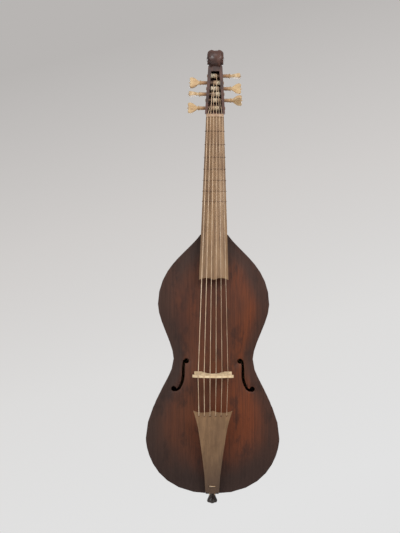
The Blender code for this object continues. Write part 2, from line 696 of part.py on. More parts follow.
def build_neck(looks, root, folder):
    foot = BODY_TOP + SEAT_GAP
    levels = [foot + HEEL_LENGTH * t for t in (0, 0.12, 0.26, 0.42, 0.62, 0.85, 1.1)]
    top = BOARD_NUT_Z + NUT_LENGTH + SEAT_GAP
    levels += [lerp(levels[-1], BOARD_NUT_Z, t) for t in (0.33, 0.66, 1)] + [top]
    rings = [neck_ring(z, 0.96) for z in levels]
    add_piece("neck", loft("neck", rings), looks["varnished_maple"], root, folder)

    steps = (0, 0.02, 0.25, 0.5, 0.75, 1)
    fronts, backs = [], []
    for t in steps:
        low, high = [], []
        for u in BOARD_COLUMNS:
            dip = BOARD_END_DIP * festoon(u) * (1 - t)
            z = lerp(BOARD_END_Z, BOARD_NUT_Z, t) + dip
            x = u * board_half(z)
            low.append((x, board_top(x, z), z))
            high.append((x, board_under(z), z))
        fronts.append(low)
        backs.append(high)
    add_piece("fingerboard", slab("fingerboard", fronts, backs), looks["board_wood"], root, folder)

    start = BOARD_NUT_Z + SEAT_GAP
    rise = NUT_RISE - max(STRING_RADII) - SEAT_GAP
    fronts, backs = [], []
    for z, lift in ((start, rise), (start + 0.45 * NUT_LENGTH, rise), (start + NUT_LENGTH, rise - NUT_BACK_DROP)):
        half = board_half(BOARD_NUT_Z)
        fronts.append([(u * half, board_top(u * half, BOARD_NUT_Z) - lift, z) for u in BOARD_COLUMNS])
        backs.append([(u * half, board_under(z), z) for u in BOARD_COLUMNS])
    add_piece("nut", slab("nut", fronts, backs), looks["nut_bone"], root, folder)


def fret_levels():
    """Heights of the tied frets: one semitone each along the string length."""
    scale = BOARD_NUT_Z - BRIDGE_Z
    return [BRIDGE_Z + scale / SEMITONE ** (n + 1) for n in range(FRET_COUNT)]


def build_frets(looks, root, folder):
    away = FRET_RADIUS + SEAT_GAP + 0.0001
    for n, z in enumerate(fret_levels()):
        half = board_half(z)
        ring = [(u * half, board_top(u * half, z)) for u in BOARD_COLUMNS]
        ring += [(x, y) for x, y, _ in neck_ring(z, 1.0)]
        points = []
        count = len(ring)
        for i, (x, y) in enumerate(ring):
            p, q = ring[i - 1], ring[(i + 1) % count]
            n1 = Vector((y - p[1], p[0] - x)).normalized()
            n2 = Vector((q[1] - y, x - q[0])).normalized()
            middle = (n1 + n2).normalized()
            step = away / max(0.6, middle.dot(n1))
            points.append((x + middle.x * step, y + middle.y * step, 0))
        curve = tube_curve(f"fret_{n + 1}", points, FRET_RADIUS, cyclic=True)
        obj = add_piece(f"fret_{n + 1}", curve, looks["gut"], root, folder)
        obj.location = (0, 0, z)


# Pegbox and scroll
def pegbox_front(z):
    """Leaning front edge of the pegbox cheeks."""
    start = board_top(0, BOARD_NUT_Z) + PEGBOX_STEP_BACK
    return start + (z - PEGBOX_Z) * math.tan(PEGBOX_LEAN)


def throat_z():
    return PEGBOX_Z + (PEG_STATIONS[-1] + SLOT_PAST_LAST_PEG + THROAT_LENGTH) * math.cos(PEGBOX_LEAN)


def pegbox_half(z):
    return interpolate(z, [(PEGBOX_Z, PEGBOX_HALF_AT_NUT), (throat_z(), PEGBOX_HALF_AT_THROAT)])


def slot_half(z):
    return interpolate(z, [(PEGBOX_Z, PEGBOX_HALF_AT_NUT - SLOT_WALL_AT_NUT),
                           (throat_z(), PEGBOX_HALF_AT_THROAT - SLOT_WALL_AT_THROAT)])


def peg_axis(station):
    """(y, z) of a peg's axis, from its distance along the front edge."""
    z = PEGBOX_Z + station * math.cos(PEGBOX_LEAN)
    y = pegbox_front(z)
    return (y + PEG_AXIS_DEPTH * math.cos(PEGBOX_LEAN), z - PEG_AXIS_DEPTH * math.sin(PEGBOX_LEAN))


def scroll_centre():
    """(y, z) of the scroll's eye, so that its front lobe hangs over the throat."""
    drop = SCROLL_RADIUS * SCROLL_TIGHTENING ** (300 / 360)
    z = throat_z() + drop - 0.25 * THROAT_LENGTH
    return (pegbox_front(z) + SCROLL_EYE_BEHIND_FRONT, z)


def build_scroll_mesh():
    """Volute: a turn that tightens and widens inwards, fluted over its crest."""
    cy, cz = scroll_centre()
    per_turn = 24
    total = round(per_turn * SCROLL_TURNS)
    widths = [(0, SCROLL_ROOT_HALF), (120, SCROLL_CREST_HALF), (210, SCROLL_CREST_HALF + 0.001),
              (360, lerp(SCROLL_CREST_HALF, SCROLL_EYE_HALF, 0.5)), (540, lerp(SCROLL_CREST_HALF, SCROLL_EYE_HALF, 0.85)),
              (360 * SCROLL_TURNS, SCROLL_EYE_HALF)]

    def spot(i, scale=1.0):
        angle = 360 * i / per_turn
        around = math.radians(-30 + angle)
        r = SCROLL_RADIUS * SCROLL_TIGHTENING ** (angle / 360) * scale
        return cy + r * math.cos(around), cz + r * math.sin(around)

    def width(i):
        return interpolate(360 * i / per_turn, widths)

    bm = bmesh.new()
    edge, foot = {}, {}
    for side in (-1, 1):
        for i in range(total + 1):
            y, z = spot(i)
            edge[side, i] = bm.verts.new((side * width(i), y, z))
        for i in range(total - per_turn + 1):
            y, z = spot(i + per_turn, 1.1)
            rim = width(i)
            foot[side, i] = bm.verts.new((side * rim, y, z))
        for i in range(total - per_turn):
            a, b = edge[side, i], edge[side, i + 1]
            c, d = foot[side, i], foot[side, i + 1]
            e, f = edge[side, i + per_turn], edge[side, i + per_turn + 1]
            bm.faces.new((a, b, d, c))
            bm.faces.new((c, d, f, e))
        eye = bm.verts.new((side * SCROLL_EYE_HALF * 1.02, cy, cz))
        for i in range(total - per_turn, total):
            bm.faces.new((edge[side, i], edge[side, i + 1], eye))
        start = total - per_turn
        bm.faces.new((edge[side, start], foot[side, start], edge[side, total]))
        bm.faces.new((edge[side, start], edge[side, total], eye))
    flutes = {}
    for i in range(per_turn + 1):
        y, z = spot(i)
        around = math.radians(-30 + 360 * i / per_turn)
        for k, share in enumerate((-0.45, 0.45)):
            dip = SCROLL_FLUTE_DEPTH
            flutes[k, i] = bm.verts.new((share * width(i), y - dip * math.cos(around), z - dip * math.sin(around)))
    for i in range(per_turn):
        lines = [(edge[-1, i], edge[-1, i + 1]), (flutes[0, i], flutes[0, i + 1]),
                 (flutes[1, i], flutes[1, i + 1]), (edge[1, i], edge[1, i + 1])]
        for (a, b), (c, d) in zip(lines, lines[1:]):
            bm.faces.new((a, b, d, c))
    bm.faces.new((edge[-1, 0], foot[-1, 0], edge[-1, per_turn], flutes[0, per_turn], flutes[1, per_turn],
                  edge[1, per_turn], foot[1, 0], edge[1, 0], flutes[1, 0], flutes[0, 0]))
    bmesh.ops.triangulate(bm, faces=[f for f in bm.faces if len(f.verts) > 4])
    return finish_mesh("scroll_volute", bm)


def build_pegbox(looks, root, folder, cutters):
    depth = PEGBOX_DEPTH / math.cos(PEGBOX_LEAN)
    neck_end = neck_back(BOARD_NUT_Z) - pegbox_front(PEGBOX_Z)
    cy, cz = scroll_centre()
    root_angle = math.radians(-30)
    meet_y = cy + SCROLL_RADIUS * math.cos(root_angle)
    meet_z = cz + SCROLL_RADIUS * math.sin(root_angle)
    top = cz - 0.2 * SCROLL_RADIUS
    backs = [(PEGBOX_Z, pegbox_front(PEGBOX_Z) + neck_end), (PEGBOX_Z + 0.018, pegbox_front(PEGBOX_Z + 0.018) + depth),
             (lerp(PEGBOX_Z, meet_z, 0.6), pegbox_front(lerp(PEGBOX_Z, meet_z, 0.6)) + 0.95 * depth),
             (meet_z, meet_y), (top, meet_y)]
    levels = [lerp(PEGBOX_Z, meet_z, t) for t in (0, 0.06, 0.13, 0.25, 0.4, 0.6, 0.75, 0.88, 1)] + [top]
    rings = []
    for z in levels:
        half = pegbox_half(z)
        if z > meet_z:
            half = SCROLL_CREST_HALF
        front, back = pegbox_front(z), interpolate(z, backs)
        bevel = 0.35 * half
        rings.append([(half, front, z), (half, back - bevel, z), (half - bevel, back - 0.15 * bevel, z),
                      (bevel - half, back - 0.15 * bevel, z), (-half, back - bevel, z), (-half, front, z)])
    head = add_piece("pegbox_scroll", loft("pegbox_scroll", rings), looks["varnished_maple"], root, folder)
    shape(head, "UNION", build_scroll_mesh(), root, cutters)

    slot_end = PEGBOX_Z + (PEG_STATIONS[-1] + SLOT_PAST_LAST_PEG) * math.cos(PEGBOX_LEAN)
    rings = []
    for z in (PEGBOX_Z + SLOT_START, backs[1][0], slot_end):
        half = slot_half(z)
        front = pegbox_front(z)
        floor = min(front + SLOT_DEPTH, interpolate(z, backs) - SLOT_FLOOR)
        rings.append([(half, front - SLOT_DEPTH, z), (half, floor, z), (-half, floor, z),
                      (-half, front - SLOT_DEPTH, z)])
    shape(head, "DIFFERENCE", loft("slot", rings), root, cutters)
    for n, station in enumerate(PEG_STATIONS):
        y, z = peg_axis(station)
        side = -1 if n % 2 == 0 else 1
        near = side * (pegbox_half(z) + 0.01)
        far = -near
        taper = peg_taper(z)
        radii = [peg_radius(pegbox_half(z) - side * x, taper) + TURNING_GAP for x in (near, far)]
        shape(head, "DIFFERENCE", cone_between(f"peg_hole_{n}", (near, y, z), (far, y, z), *radii, 14), root, cutters)


# Pegs
def peg_taper(z):
    return (PEG_RADIUS_AT_HEAD - PEG_RADIUS_AT_TIP) / (2 * pegbox_half(z))


def peg_radius(inward, taper):
    """Shaft radius at a distance inwards from the cheek on the head's side."""
    return PEG_RADIUS_AT_HEAD - taper * inward


def peg_head_outline():
    """Heart-shaped head seen face on: narrow at the collar, two lobes and a pip at the outer end."""
    start = PEG_SHANK_LENGTH + PEG_COLLAR_WIDTH
    length, half = PEG_HEAD_LENGTH, PEG_HEAD_HALF
    right = [(0.27 * half, start - 0.001), (0.3 * half, start + 0.1 * length), (0.55 * half, start + 0.28 * length),
             (0.86 * half, start + 0.5 * length), (half, start + 0.74 * length), (0.95 * half, start + 0.93 * length),
             (0.72 * half, start + length), (0.4 * half, start + 0.96 * length), (0.13 * half, start + 0.93 * length)]
    return right + [(-x, z) for x, z in reversed(right)]


def build_peg(name, station, side, spin, looks, root, folder):
    y, z = peg_axis(station)
    wall = pegbox_half(z)
    taper = peg_taper(z)
    tip = -2 * wall - PEG_TIP_PROUD
    shank, collar = PEG_SHANK_LENGTH, PEG_SHANK_LENGTH + PEG_COLLAR_WIDTH
    profile = [(0, collar + 0.004), (PEG_WAIST_RADIUS, collar + 0.004), (PEG_WAIST_RADIUS, collar + 0.0006),
               (PEG_COLLAR_RADIUS - 0.001, collar), (PEG_COLLAR_RADIUS, (shank + collar) / 2),
               (PEG_COLLAR_RADIUS - 0.001, shank), (peg_radius(-shank, taper), shank - 0.0008),
               (peg_radius(-tip, taper), tip), (0, tip)]
    shaft = turned(name + "_turned", profile, 14, folder)
    head = outline_plate(name + "_head", peg_head_outline(), PEG_HEAD_THICKNESS)
    start = PEG_SHANK_LENGTH + PEG_COLLAR_WIDTH
    for v in head.vertices:
        t = max(0.0, min(1.0, (v.co.y - start) / PEG_HEAD_LENGTH))
        v.co = (v.co.x, v.co.z * lerp(0.5, 1, t), v.co.y)
    head_obj = bpy.data.objects.new(name + "_head", head)
    folder.objects.link(head_obj)
    bevel = head_obj.modifiers.new("round", "BEVEL")
    bevel.width = 0.0012
    bevel.segments = 1
    bevel.limit_method = "ANGLE"
    join = shaft.modifiers.new("join", "BOOLEAN")
    join.operation = "UNION"
    join.object = head_obj
    pip_at = start + 0.93 * PEG_HEAD_LENGTH
    pip = cone_between(name + "_pip", (0, 0, pip_at - 0.002), (0, 0, pip_at + 0.0035), PEG_PIP_RADIUS,
                       0.6 * PEG_PIP_RADIUS, 8)
    pip_obj = bpy.data.objects.new(name + "_pip", pip)
    folder.objects.link(pip_obj)
    join = shaft.modifiers.new("join_pip", "BOOLEAN")
    join.operation = "UNION"
    join.object = pip_obj
    mesh = settled_mesh(name, shaft)
    for extra in (head_obj, pip_obj):
        bpy.data.objects.remove(extra, do_unlink=True)
    mesh.transform(Matrix.Translation((0, 0, wall)))
    obj = add_piece(name, mesh, looks["boxwood"], root, folder)
    obj.location = (0, y, z)
    obj.rotation_euler = (Matrix.Rotation(side * math.pi / 2, 4, "Y") @ Matrix.Rotation(spin, 4, "Z")).to_euler()


# Strings
def string_points(index):
    """Route of one string: knot, tailpiece hole, bridge, nut, then turns round its peg."""
    radius = STRING_RADII[index]
    share = (index - 2.5) / 5
    xt, xb, xn = (share * s for s in (STRING_SPREAD_AT_TAIL, STRING_SPREAD_AT_BRIDGE, STRING_SPREAD_AT_NUT))
    lift = radius + SEAT_GAP
    hole = tail_hole_z(xt)
    front = lambda z: tailpiece_front(xt, z) - lift
    rear = tailpiece_front(xt, hole) + TAILPIECE_THICKNESS
    edge = tailpiece_top(xt)
    points = [(xt, rear + 0.0042, hole), (xt, rear + 0.0022, hole), (xt, rear + 0.0012, hole),
              (xt, tailpiece_front(xt, hole) + 0.0006, hole), (xt, front(hole), hole + 0.0007),
              (xt, front(hole + 0.0026) - 0.0001, hole + 0.0026), (xt, front(edge) - 0.0003, edge)]
    points += [(xb, bridge_crown(xb) - lift, BRIDGE_Z + k * BRIDGE_THICKNESS_AT_TOP / 2) for k in (-1.1, 1.1)]
    nut = (xn, board_top(xn, BOARD_NUT_Z) - NUT_RISE, BOARD_NUT_Z + 0.6 * NUT_LENGTH)
    points.append(nut)
    station = PEG_STATIONS[STRING_PEGS[index]]
    cy, cz = peg_axis(station)
    around = PEG_RADIUS_AT_HEAD + SEAT_GAP + radius
    towards = Vector((cy - nut[1], cz - nut[2]))
    distance = towards.length
    towards.normalize()
    lean = math.asin(around / distance)
    normal = Vector((-towards.y, towards.x))
    out = normal * math.cos(lean) - towards * math.sin(lean)
    along = Vector((-out.y, out.x)) * -1
    if along.dot(towards) < 0:
        along = -along
    pitch = 2 * radius + WINDING_GAP
    way = 1 if share < 0 else -1
    start = -way * min(abs(xn) * 0.6 + 0.0015, slot_half(cz) - radius - 0.0015)
    coil = []
    for i in range(STRING_TURNS * TURN_POINTS + 1):
        a = 2 * math.pi * i / TURN_POINTS
        place = (out * math.cos(a) + along * math.sin(a)) * around / math.cos(math.pi / TURN_POINTS)
        coil.append((start + way * pitch * i / TURN_POINTS, cy + place.x, cz + place.y))
    return points, coil


def least_gap(coil, radius):
    """Smallest clear space between turns of one winding."""
    best = 1.0
    for i, p in enumerate(coil):
        for q in coil[i + TURN_POINTS // 2:]:
            best = min(best, (Vector(p) - Vector(q)).length - 2 * radius)
    return best


def build_strings(looks, root, folder):
    for index, radius in enumerate(STRING_RADII):
        points, coil = string_points(index)
        number = len(STRING_RADII) - index
        print(f"string_{number} winding's least gap to itself: {1000 * least_gap(coil, radius):.2f} mm")
        curve = tube_curve(f"string_{number}", points + coil, radius, swell={0: 1.7, 1: 1.7})
        add_piece(f"string_{number}", curve, looks["gut"], root, folder)


# Bridge
def bridge_crown(x):
    """Y of the bridge's crown at a distance from the middle."""
    top = -BELLY_THICKNESS - BELLY_RISE - BRIDGE_HEIGHT
    return top + BRIDGE_CROWN_RADIUS - math.sqrt(BRIDGE_CROWN_RADIUS ** 2 - x * x)


def build_bridge(surface, looks, root, folder, cutters):
    """Two feet, an arch between them, a waist and a wide crown; thicker at the feet."""
    base = -BELLY_THICKNESS - BELLY_RISE
    high, half, top_half = BRIDGE_HEIGHT, BRIDGE_FEET_SPAN / 2, BRIDGE_TOP_HALF
    foot = BRIDGE_FOOT_WIDTH
    right = [(0, 0.42 * high), (0.18 * half, 0.41 * high), (0.34 * half, 0.32 * high), (0.42 * half, 0.2 * high),
             (half - foot, 0.08 * high), (half - foot, 0), (half - 0.5 * foot, 0), (half, 0), (half, 0.06 * high),
             (half - 0.35 * foot, 0.13 * high), (half - 0.5 * foot, 0.3 * high), (half - 0.42 * foot, 0.48 * high),
             (half - 0.1 * foot, 0.62 * high)]
    crown = [(u * top_half, base - bridge_crown(u * top_half)) for u in (1, 0.8, 0.6, 0.4, 0.2, 0)]
    right += [(top_half, crown[0][1] - 0.08 * high)] + crown
    outline = right + [(-x, y) for x, y in reversed(right[1:-1])]
    mesh = outline_plate("bridge", outline, 1)
    for v in mesh.vertices:
        x, up, side = v.co
        thick = lerp(BRIDGE_THICKNESS_AT_FEET, BRIDGE_THICKNESS_AT_TOP, min(1, max(0, up / high)))
        z = BRIDGE_Z + (thick / 2 if side > 0 else -thick / 2)
        y = base - up
        if up < 0.01 * high:
            hit = surface.ray_cast(Vector((x, -2 * high, z)), Vector((0, 1, 0)))[0]
            y = hit.y - SEAT_GAP - 0.0001
        v.co = (x, y, z)
    mesh.update()
    bridge = add_piece("bridge", mesh, looks["bridge_maple"], root, folder)
    for name, x, up, radius in (("heart", 0, 0.66, 0.0052), ("bass_eye", -0.5, 0.6, 0.0062),
                                ("treble_eye", 0.5, 0.6, 0.0062)):
        middle = (x * half, base - up * high)
        hole = cone_between(name, (*middle, BRIDGE_Z - 0.02), (*middle, BRIDGE_Z + 0.02), radius, radius, 12)
        shape(bridge, "DIFFERENCE", hole, root, cutters)


# Tailpiece, tail gut, button and saddle
def tailpiece_half(z):
    t = (z - TAILPIECE_END_HEIGHT - BODY_BOTTOM) / TAILPIECE_LENGTH
    return interpolate(t, [(0, TAILPIECE_HALF_AT_END), (0.2, TAILPIECE_HALF_AT_END + 0.0022),
                           (0.45, lerp(TAILPIECE_HALF_AT_END, TAILPIECE_HALF_AT_TOP, 0.27)),
                           (0.66, lerp(TAILPIECE_HALF_AT_END, TAILPIECE_HALF_AT_TOP, 0.47)),
                           (0.8, lerp(TAILPIECE_HALF_AT_END, TAILPIECE_HALF_AT_TOP, 0.62)),
                           (0.93, lerp(TAILPIECE_HALF_AT_END, TAILPIECE_HALF_AT_TOP, 0.84)),
                           (1, TAILPIECE_HALF_AT_TOP)])


def tailpiece_front(x, z):
    """Crowned front face, leaning out from the saddle towards the strings."""
    t = (z - TAILPIECE_END_HEIGHT - BODY_BOTTOM) / TAILPIECE_LENGTH
    middle = -lerp(TAILPIECE_FRONT_AT_END, TAILPIECE_FRONT_AT_TOP, t)
    return middle + 0.6 * TAILPIECE_THICKNESS * (x / TAILPIECE_HALF_AT_TOP) ** 2


def tailpiece_top(x):
    top = BODY_BOTTOM + TAILPIECE_END_HEIGHT + TAILPIECE_LENGTH
    u = min(1, abs(x) / TAILPIECE_HALF_AT_TOP)
    return top - BOARD_END_DIP * festoon(u)


def tail_hole_z(x):
    return BODY_BOTTOM + TAILPIECE_END_HEIGHT + TAILPIECE_LENGTH - TAIL_HOLE_BELOW_EDGE


def build_tailpiece(looks, root, folder, cutters):
    low = BODY_BOTTOM + TAILPIECE_END_HEIGHT
    fronts, backs = [], []
    for t in (0, 0.1, 0.2, 0.45, 0.66, 0.8, 0.9, 0.97, 1):
        front, back = [], []
        for u in COLUMNS:
            z = low + t * TAILPIECE_LENGTH
            half = tailpiece_half(z)
            x = u * half
            if t == 1:
                z = tailpiece_top(x)
            if t == 0:
                z += 0.004 * u * u
            y = tailpiece_front(x, z)
            front.append((x, y, z))
            rear = tailpiece_front(0, z) + TAILPIECE_THICKNESS
            back.append((x, rear, z))
        fronts.append(front)
        backs.append(back)
    piece = add_piece("tailpiece", slab("tailpiece", fronts, backs), looks["tailpiece_wood"], root, folder)
    holes = []
    for index in range(len(STRING_RADII)):
        x = (index - 2.5) / 5 * STRING_SPREAD_AT_TAIL
        holes.append((f"string_hole_{index}", x, tail_hole_z(x), TAIL_HOLE_RADIUS))
    for side in (-1, 1):
        holes.append((f"gut_hole_{side}", side * GUT_HOLE_SPREAD / 2, low + GUT_HOLE_HEIGHT, GUT_RADIUS + 2 * SEAT_GAP))
    for name, x, z, radius in holes:
        y = tailpiece_front(x, z)
        hole = cone_between(name, (x, y - 0.02, z), (x, y + 0.02, z), radius, radius, 10)
        shape(piece, "DIFFERENCE", hole, root, cutters)


def arc(centre, radius, start, end, steps):
    """Points round a centre in the YZ plane; angles in degrees from +Y towards +Z."""
    return [(centre[0] + radius * math.cos(math.radians(lerp(start, end, i / steps))),
             centre[1] + radius * math.sin(math.radians(lerp(start, end, i / steps)))) for i in range(steps + 1)]


def build_tail_gut(looks, root, folder):
    """One length: over the front between two holes, under the tailpiece, over the saddle, round the button."""
    low = BODY_BOTTOM + TAILPIECE_END_HEIGHT
    x = GUT_HOLE_SPREAD / 2
    z = low + GUT_HOLE_HEIGHT
    lift = GUT_RADIUS + SEAT_GAP + 0.0002
    front = tailpiece_front(x, z)
    rear = tailpiece_front(0, z) + TAILPIECE_THICKNESS + lift
    saddle = -BELLY_THICKNESS - SADDLE_RISE
    run = [(front - 0.2 * lift, z), (rear - lift, z), (rear - 0.3 * lift, z - 0.4 * lift),
           (rear + 0.1 * lift, z - 1.4 * lift)]
    run += [(saddle - lift, BODY_BOTTOM + SADDLE_THICKNESS)]
    run += arc((saddle, BODY_BOTTOM), lift + 0.0001, 180, 270, 4)
    level = BODY_BOTTOM - lift
    side = [(x, y, zz) for y, zz in run]
    round_button = BUTTON_NECK_RADIUS + lift
    loop = []
    for i in range(9):
        a = math.pi * i / 8
        loop.append((round_button * math.cos(a), BUTTON_BEHIND_BELLY + round_button * math.sin(a), level))
    bar = [(-x + lift, front - lift, z), (x - lift, front - lift, z)]
    back_run = [(-px, py, pz) for px, py, pz in reversed(side[3:])]
    points = [(-x, rear - lift, z)] + [(-x, front - 0.2 * lift, z)] + bar + side + loop + back_run
    curve = tube_curve("tail_gut", points, GUT_RADIUS)
    add_piece("tail_gut", curve, looks["gut"], root, folder)


def build_button(looks, root, folder):
    neck, head = BUTTON_NECK_RADIUS, BUTTON_HEAD_RADIUS
    collar = BUTTON_REACH - SEAT_GAP
    shank_top = BUTTON_REACH + RIB_THICKNESS + 0.9 * TAIL_BLOCK_LENGTH
    profile = [(0, shank_top), (BUTTON_SHANK_RADIUS, shank_top), (BUTTON_SHANK_RADIUS, collar),
               (1.35 * neck, collar), (1.35 * neck, collar - 0.0018), (neck, collar - 0.0022),
               (neck, 0.72 * BUTTON_REACH), (1.12 * neck, 0.58 * BUTTON_REACH), (1.45 * neck, 0.4 * BUTTON_REACH),
               (0.96 * head, 0.24 * BUTTON_REACH), (head, 0.15 * BUTTON_REACH), (0.92 * head, 0.08 * BUTTON_REACH),
               (BUTTON_NUB_RADIUS, 0.045 * BUTTON_REACH), (BUTTON_NUB_RADIUS, 0), (0, 0)]
    obj = turned("end_button_turned", profile, 20, folder)
    mesh = settled_mesh("end_button", obj)
    button = add_piece("end_button", mesh, looks["dark_wood"], root, folder)
    button.location = (0, BUTTON_BEHIND_BELLY, 0)


def build_saddle(looks, root, folder):
    front = -BELLY_THICKNESS - SADDLE_RISE
    mesh = box("saddle", (-SADDLE_HALF, front, BODY_BOTTOM), (SADDLE_HALF, 0, BODY_BOTTOM + SADDLE_THICKNESS))
    add_piece("saddle", mesh, looks["dark_wood"], root, folder)


# Peg stations, heads and spins, from the nut upwards; even stations have their head on the bass side
PEG_SPINS = (0, 40, 90, 0, 12, 90)
STRING_PEGS = (0, 2, 4, 5, 3, 1)


def main():
    clear_scene()
    folder = make_folder("tenor_viol")
    cutters = make_folder("cutters")
    looks = {
        "varnished_spruce": make_look("varnished_spruce", (0.085, 0.032, 0.02), 0.35),
        "varnished_maple": make_look("varnished_maple", (0.05, 0.024, 0.018), 0.35),
        "bare_spruce": make_look("bare_spruce", (0.55, 0.4, 0.24), 0.75),
        "board_wood": make_look("board_wood", (0.31, 0.19, 0.115), 0.5),
        "tailpiece_wood": make_look("tailpiece_wood", (0.2, 0.12, 0.07), 0.45),
        "bridge_maple": make_look("bridge_maple", (0.68, 0.5, 0.28), 0.6),
        "boxwood": make_look("boxwood", (0.63, 0.42, 0.18), 0.45),
        "nut_bone": make_look("nut_bone", (0.45, 0.33, 0.22), 0.5),
        "gut": make_look("gut", (0.6, 0.45, 0.3), 0.5),
        "dark_wood": make_look("dark_wood", (0.05, 0.033, 0.025), 0.4),
    }
    root = bpy.data.objects.new("viol_frame", None)
    folder.objects.link(root)
    root.location = (0, -BUTTON_BEHIND_BELLY, 0)
    edge = body_outline()
    surface = build_body(edge, looks, root, folder, cutters)
    build_neck(looks, root, folder)
    build_frets(looks, root, folder)
    build_pegbox(looks, root, folder, cutters)
    for n, station in enumerate(PEG_STATIONS):
        side = -1 if n % 2 == 0 else 1
        build_peg(f"peg_{n + 1}", station, side, math.radians(PEG_SPINS[n]), looks, root, folder)
    build_strings(looks, root, folder)
    build_bridge(surface, looks, root, folder, cutters)
    build_tailpiece(looks, root, folder, cutters)
    build_tail_gut(looks, root, folder)
    build_button(looks, root, folder)
    build_saddle(looks, root, folder)


main()
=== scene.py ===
import json
import math

import bmesh
import bpy
from mathutils import Matrix, Vector


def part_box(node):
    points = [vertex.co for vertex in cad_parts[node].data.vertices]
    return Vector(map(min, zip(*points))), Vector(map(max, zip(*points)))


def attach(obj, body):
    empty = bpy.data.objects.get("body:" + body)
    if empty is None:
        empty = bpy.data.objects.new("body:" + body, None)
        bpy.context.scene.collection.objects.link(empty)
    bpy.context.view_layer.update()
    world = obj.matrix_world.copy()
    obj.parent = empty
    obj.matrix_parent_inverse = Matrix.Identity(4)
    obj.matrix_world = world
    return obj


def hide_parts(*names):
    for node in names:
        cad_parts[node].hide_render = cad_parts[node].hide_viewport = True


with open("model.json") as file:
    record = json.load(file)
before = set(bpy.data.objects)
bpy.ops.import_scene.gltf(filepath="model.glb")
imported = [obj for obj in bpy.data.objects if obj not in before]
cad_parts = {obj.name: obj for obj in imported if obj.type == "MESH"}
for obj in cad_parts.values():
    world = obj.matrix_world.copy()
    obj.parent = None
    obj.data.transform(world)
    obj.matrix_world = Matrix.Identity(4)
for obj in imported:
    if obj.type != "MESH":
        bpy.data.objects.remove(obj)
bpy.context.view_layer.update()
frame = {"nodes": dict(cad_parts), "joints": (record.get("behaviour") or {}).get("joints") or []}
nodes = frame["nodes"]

# Looks of the tenor viol: varnish, boxwood, gut and the studio, with lengths in metres

# Camera, with its focal length in pixels of a frame 533 high and its sensor in millimetres
CAMERA_DISTANCE = 2.6
CAMERA_HEIGHT = 0.5859
CAMERA_SHIFT = -0.0260
CAMERA_ROLL = math.radians(0.42)
FOCAL_PIXELS = 1070.4
FRAME_HEIGHT_PIXELS = 533
SENSOR = 36.0
BELLY_EDGE_Y = -0.052

# Paper sweep with painted light on it, and the lamps and sky
PAPER_FRONT = -3.2
PAPER_FLOOR = -0.45
PAPER_WALL = 1.7
PAPER_TOP = 3.2
PAPER_BEND = 0.8
PAPER_BEND_STEPS = 8
PAPER_HALF_WIDTH = 3.0
PAPER_COLOUR = (0.6, 0.6, 0.6)
PAPER_ROUGHNESS = 0.9
# Painted light on the paper: shades lighter towards the low right, shown to the camera only
PAPER_PAINTED_LIGHT_SHADES = (
    (0.0, (226, 226, 226)),
    (0.3, (221, 220, 219)),
    (0.62, (208, 205, 203)),
    (1.0, (184, 181, 179)),
)
PAPER_SHADE_FROM = -0.35
PAPER_SHADE_TO = 1.6
PAPER_SHADE_SLANT = -0.28
SURROUND_SHADE = (214, 212, 210)
SKY_COLOUR = (0.95, 0.97, 1.0)
SKY_STRENGTH = 0.35
LAMPS = (
    ("key", (1.5, -2.2, 1.9), (0, 0, 0.6), (1.1, 1.1), 46),
    ("fill", (-1.7, -2.0, 1.2), (0, 0, 0.6), (1.3, 1.6), 24),
    ("top", (0.0, -0.9, 2.5), (0, 0, 0.8), (1.2, 0.8), 9),
    ("behind", (0.1, 1.45, 0.9), (0, 0, 0.5), (1.4, 1.2), 9),
)

# Shading of the meshes
WELD_DISTANCE = 0.00001
BEVEL_ANGLE = math.radians(40)
BEVEL_WIDTHS = {
    "belly": 0.0012, "back": 0.001, "fingerboard": 0.0009, "tailpiece": 0.0009,
    "bridge": 0.0007, "nut": 0.0006, "saddle": 0.0012, "end_button": 0.0004,
}
CREASE_ANGLE = math.radians(38)
SHOULDER_CREASE_ANGLE = math.radians(45)

# Gloss of every finish
COAT_ROUGHNESS = 0.25
SHEEN_MASK = (0.25, 0.75)

# Belly varnish: darker near the ribs and at the lower end; warm patches at random, with painted light
# making them lighter and warmer towards the treble side
RIM_SHADE_INNER = 0.011
RIM_SHADE_OUTER = 0.0045
RIM_WANDER = 0.008
LOW_SHADE_FROM = 0.03
LOW_SHADE_TO = 0.17
PAINTED_LIGHT_LEAN_PER_METRE = 0.2

# Shade of the tailpiece as a share of its height, and of the pegs by the distance from the middle;
# inside the pegbox's slot the pegs get painted shade
TAILPIECE_SHADE_SHARE = 0.75
SHANK_SHADE = (0.026, 0.044)
SLOT_PAINTED_SHADE = (0.013, 0.019)

# Volute: a spiral round the eye that shrinks to the same share of its radius with each turn
SCROLL_EYE_Y = 0.0125
SCROLL_EYE_Z = 1.0987
CREST_RADIUS = 0.0262
CREST_ANGLE = 90
TIGHTENING = 0.55
CREST_HALF = 0.0104
VOLUTE_HALF = 0.0204
SHOULDER_INSET = 0.0012
SHOULDER_PROFILE = ((0.0, 1.0), (0.28, 0.985), (0.55, 0.93), (0.8, 0.84), (0.94, 0.74), (1.0, 0.62))
SHOULDER_CORE = 0.5
SHOULDER_START = -20
SHOULDER_END = 215
SHOULDER_STEPS = 40
SHOULDER_RISE = 40
SHOULDER_FALL = 50
SHOULDER_LEAST = 0.15

# Spare turns of string on the pegs
WINDING_TURNS = 9
WINDING_POINTS = 20
WINDING_RADIUS = 0.00062
WINDING_INNER_RADIUS = 0.0047
WINDING_START_IN_RADII = 2.2
WINDING_SLACK_IN_TURNS = 0.4
NEAR_PEG_Y = 0.008
NEAR_PEG_Z = 0.005
STRING_AT_PEG = {1: 6, 2: 1, 3: 5, 4: 2, 5: 4, 6: 3}

# Sockets of the Mix node for colours
MIX_A, MIX_B, MIX_RESULT = 6, 7, 2


def linear(colour):
    """Linear values of an sRGB colour given in 0 to 255."""
    shares = [c / 255 for c in colour]
    return tuple(s / 12.92 if s <= 0.04045 else ((s + 0.055) / 1.055) ** 2.4 for s in shares)


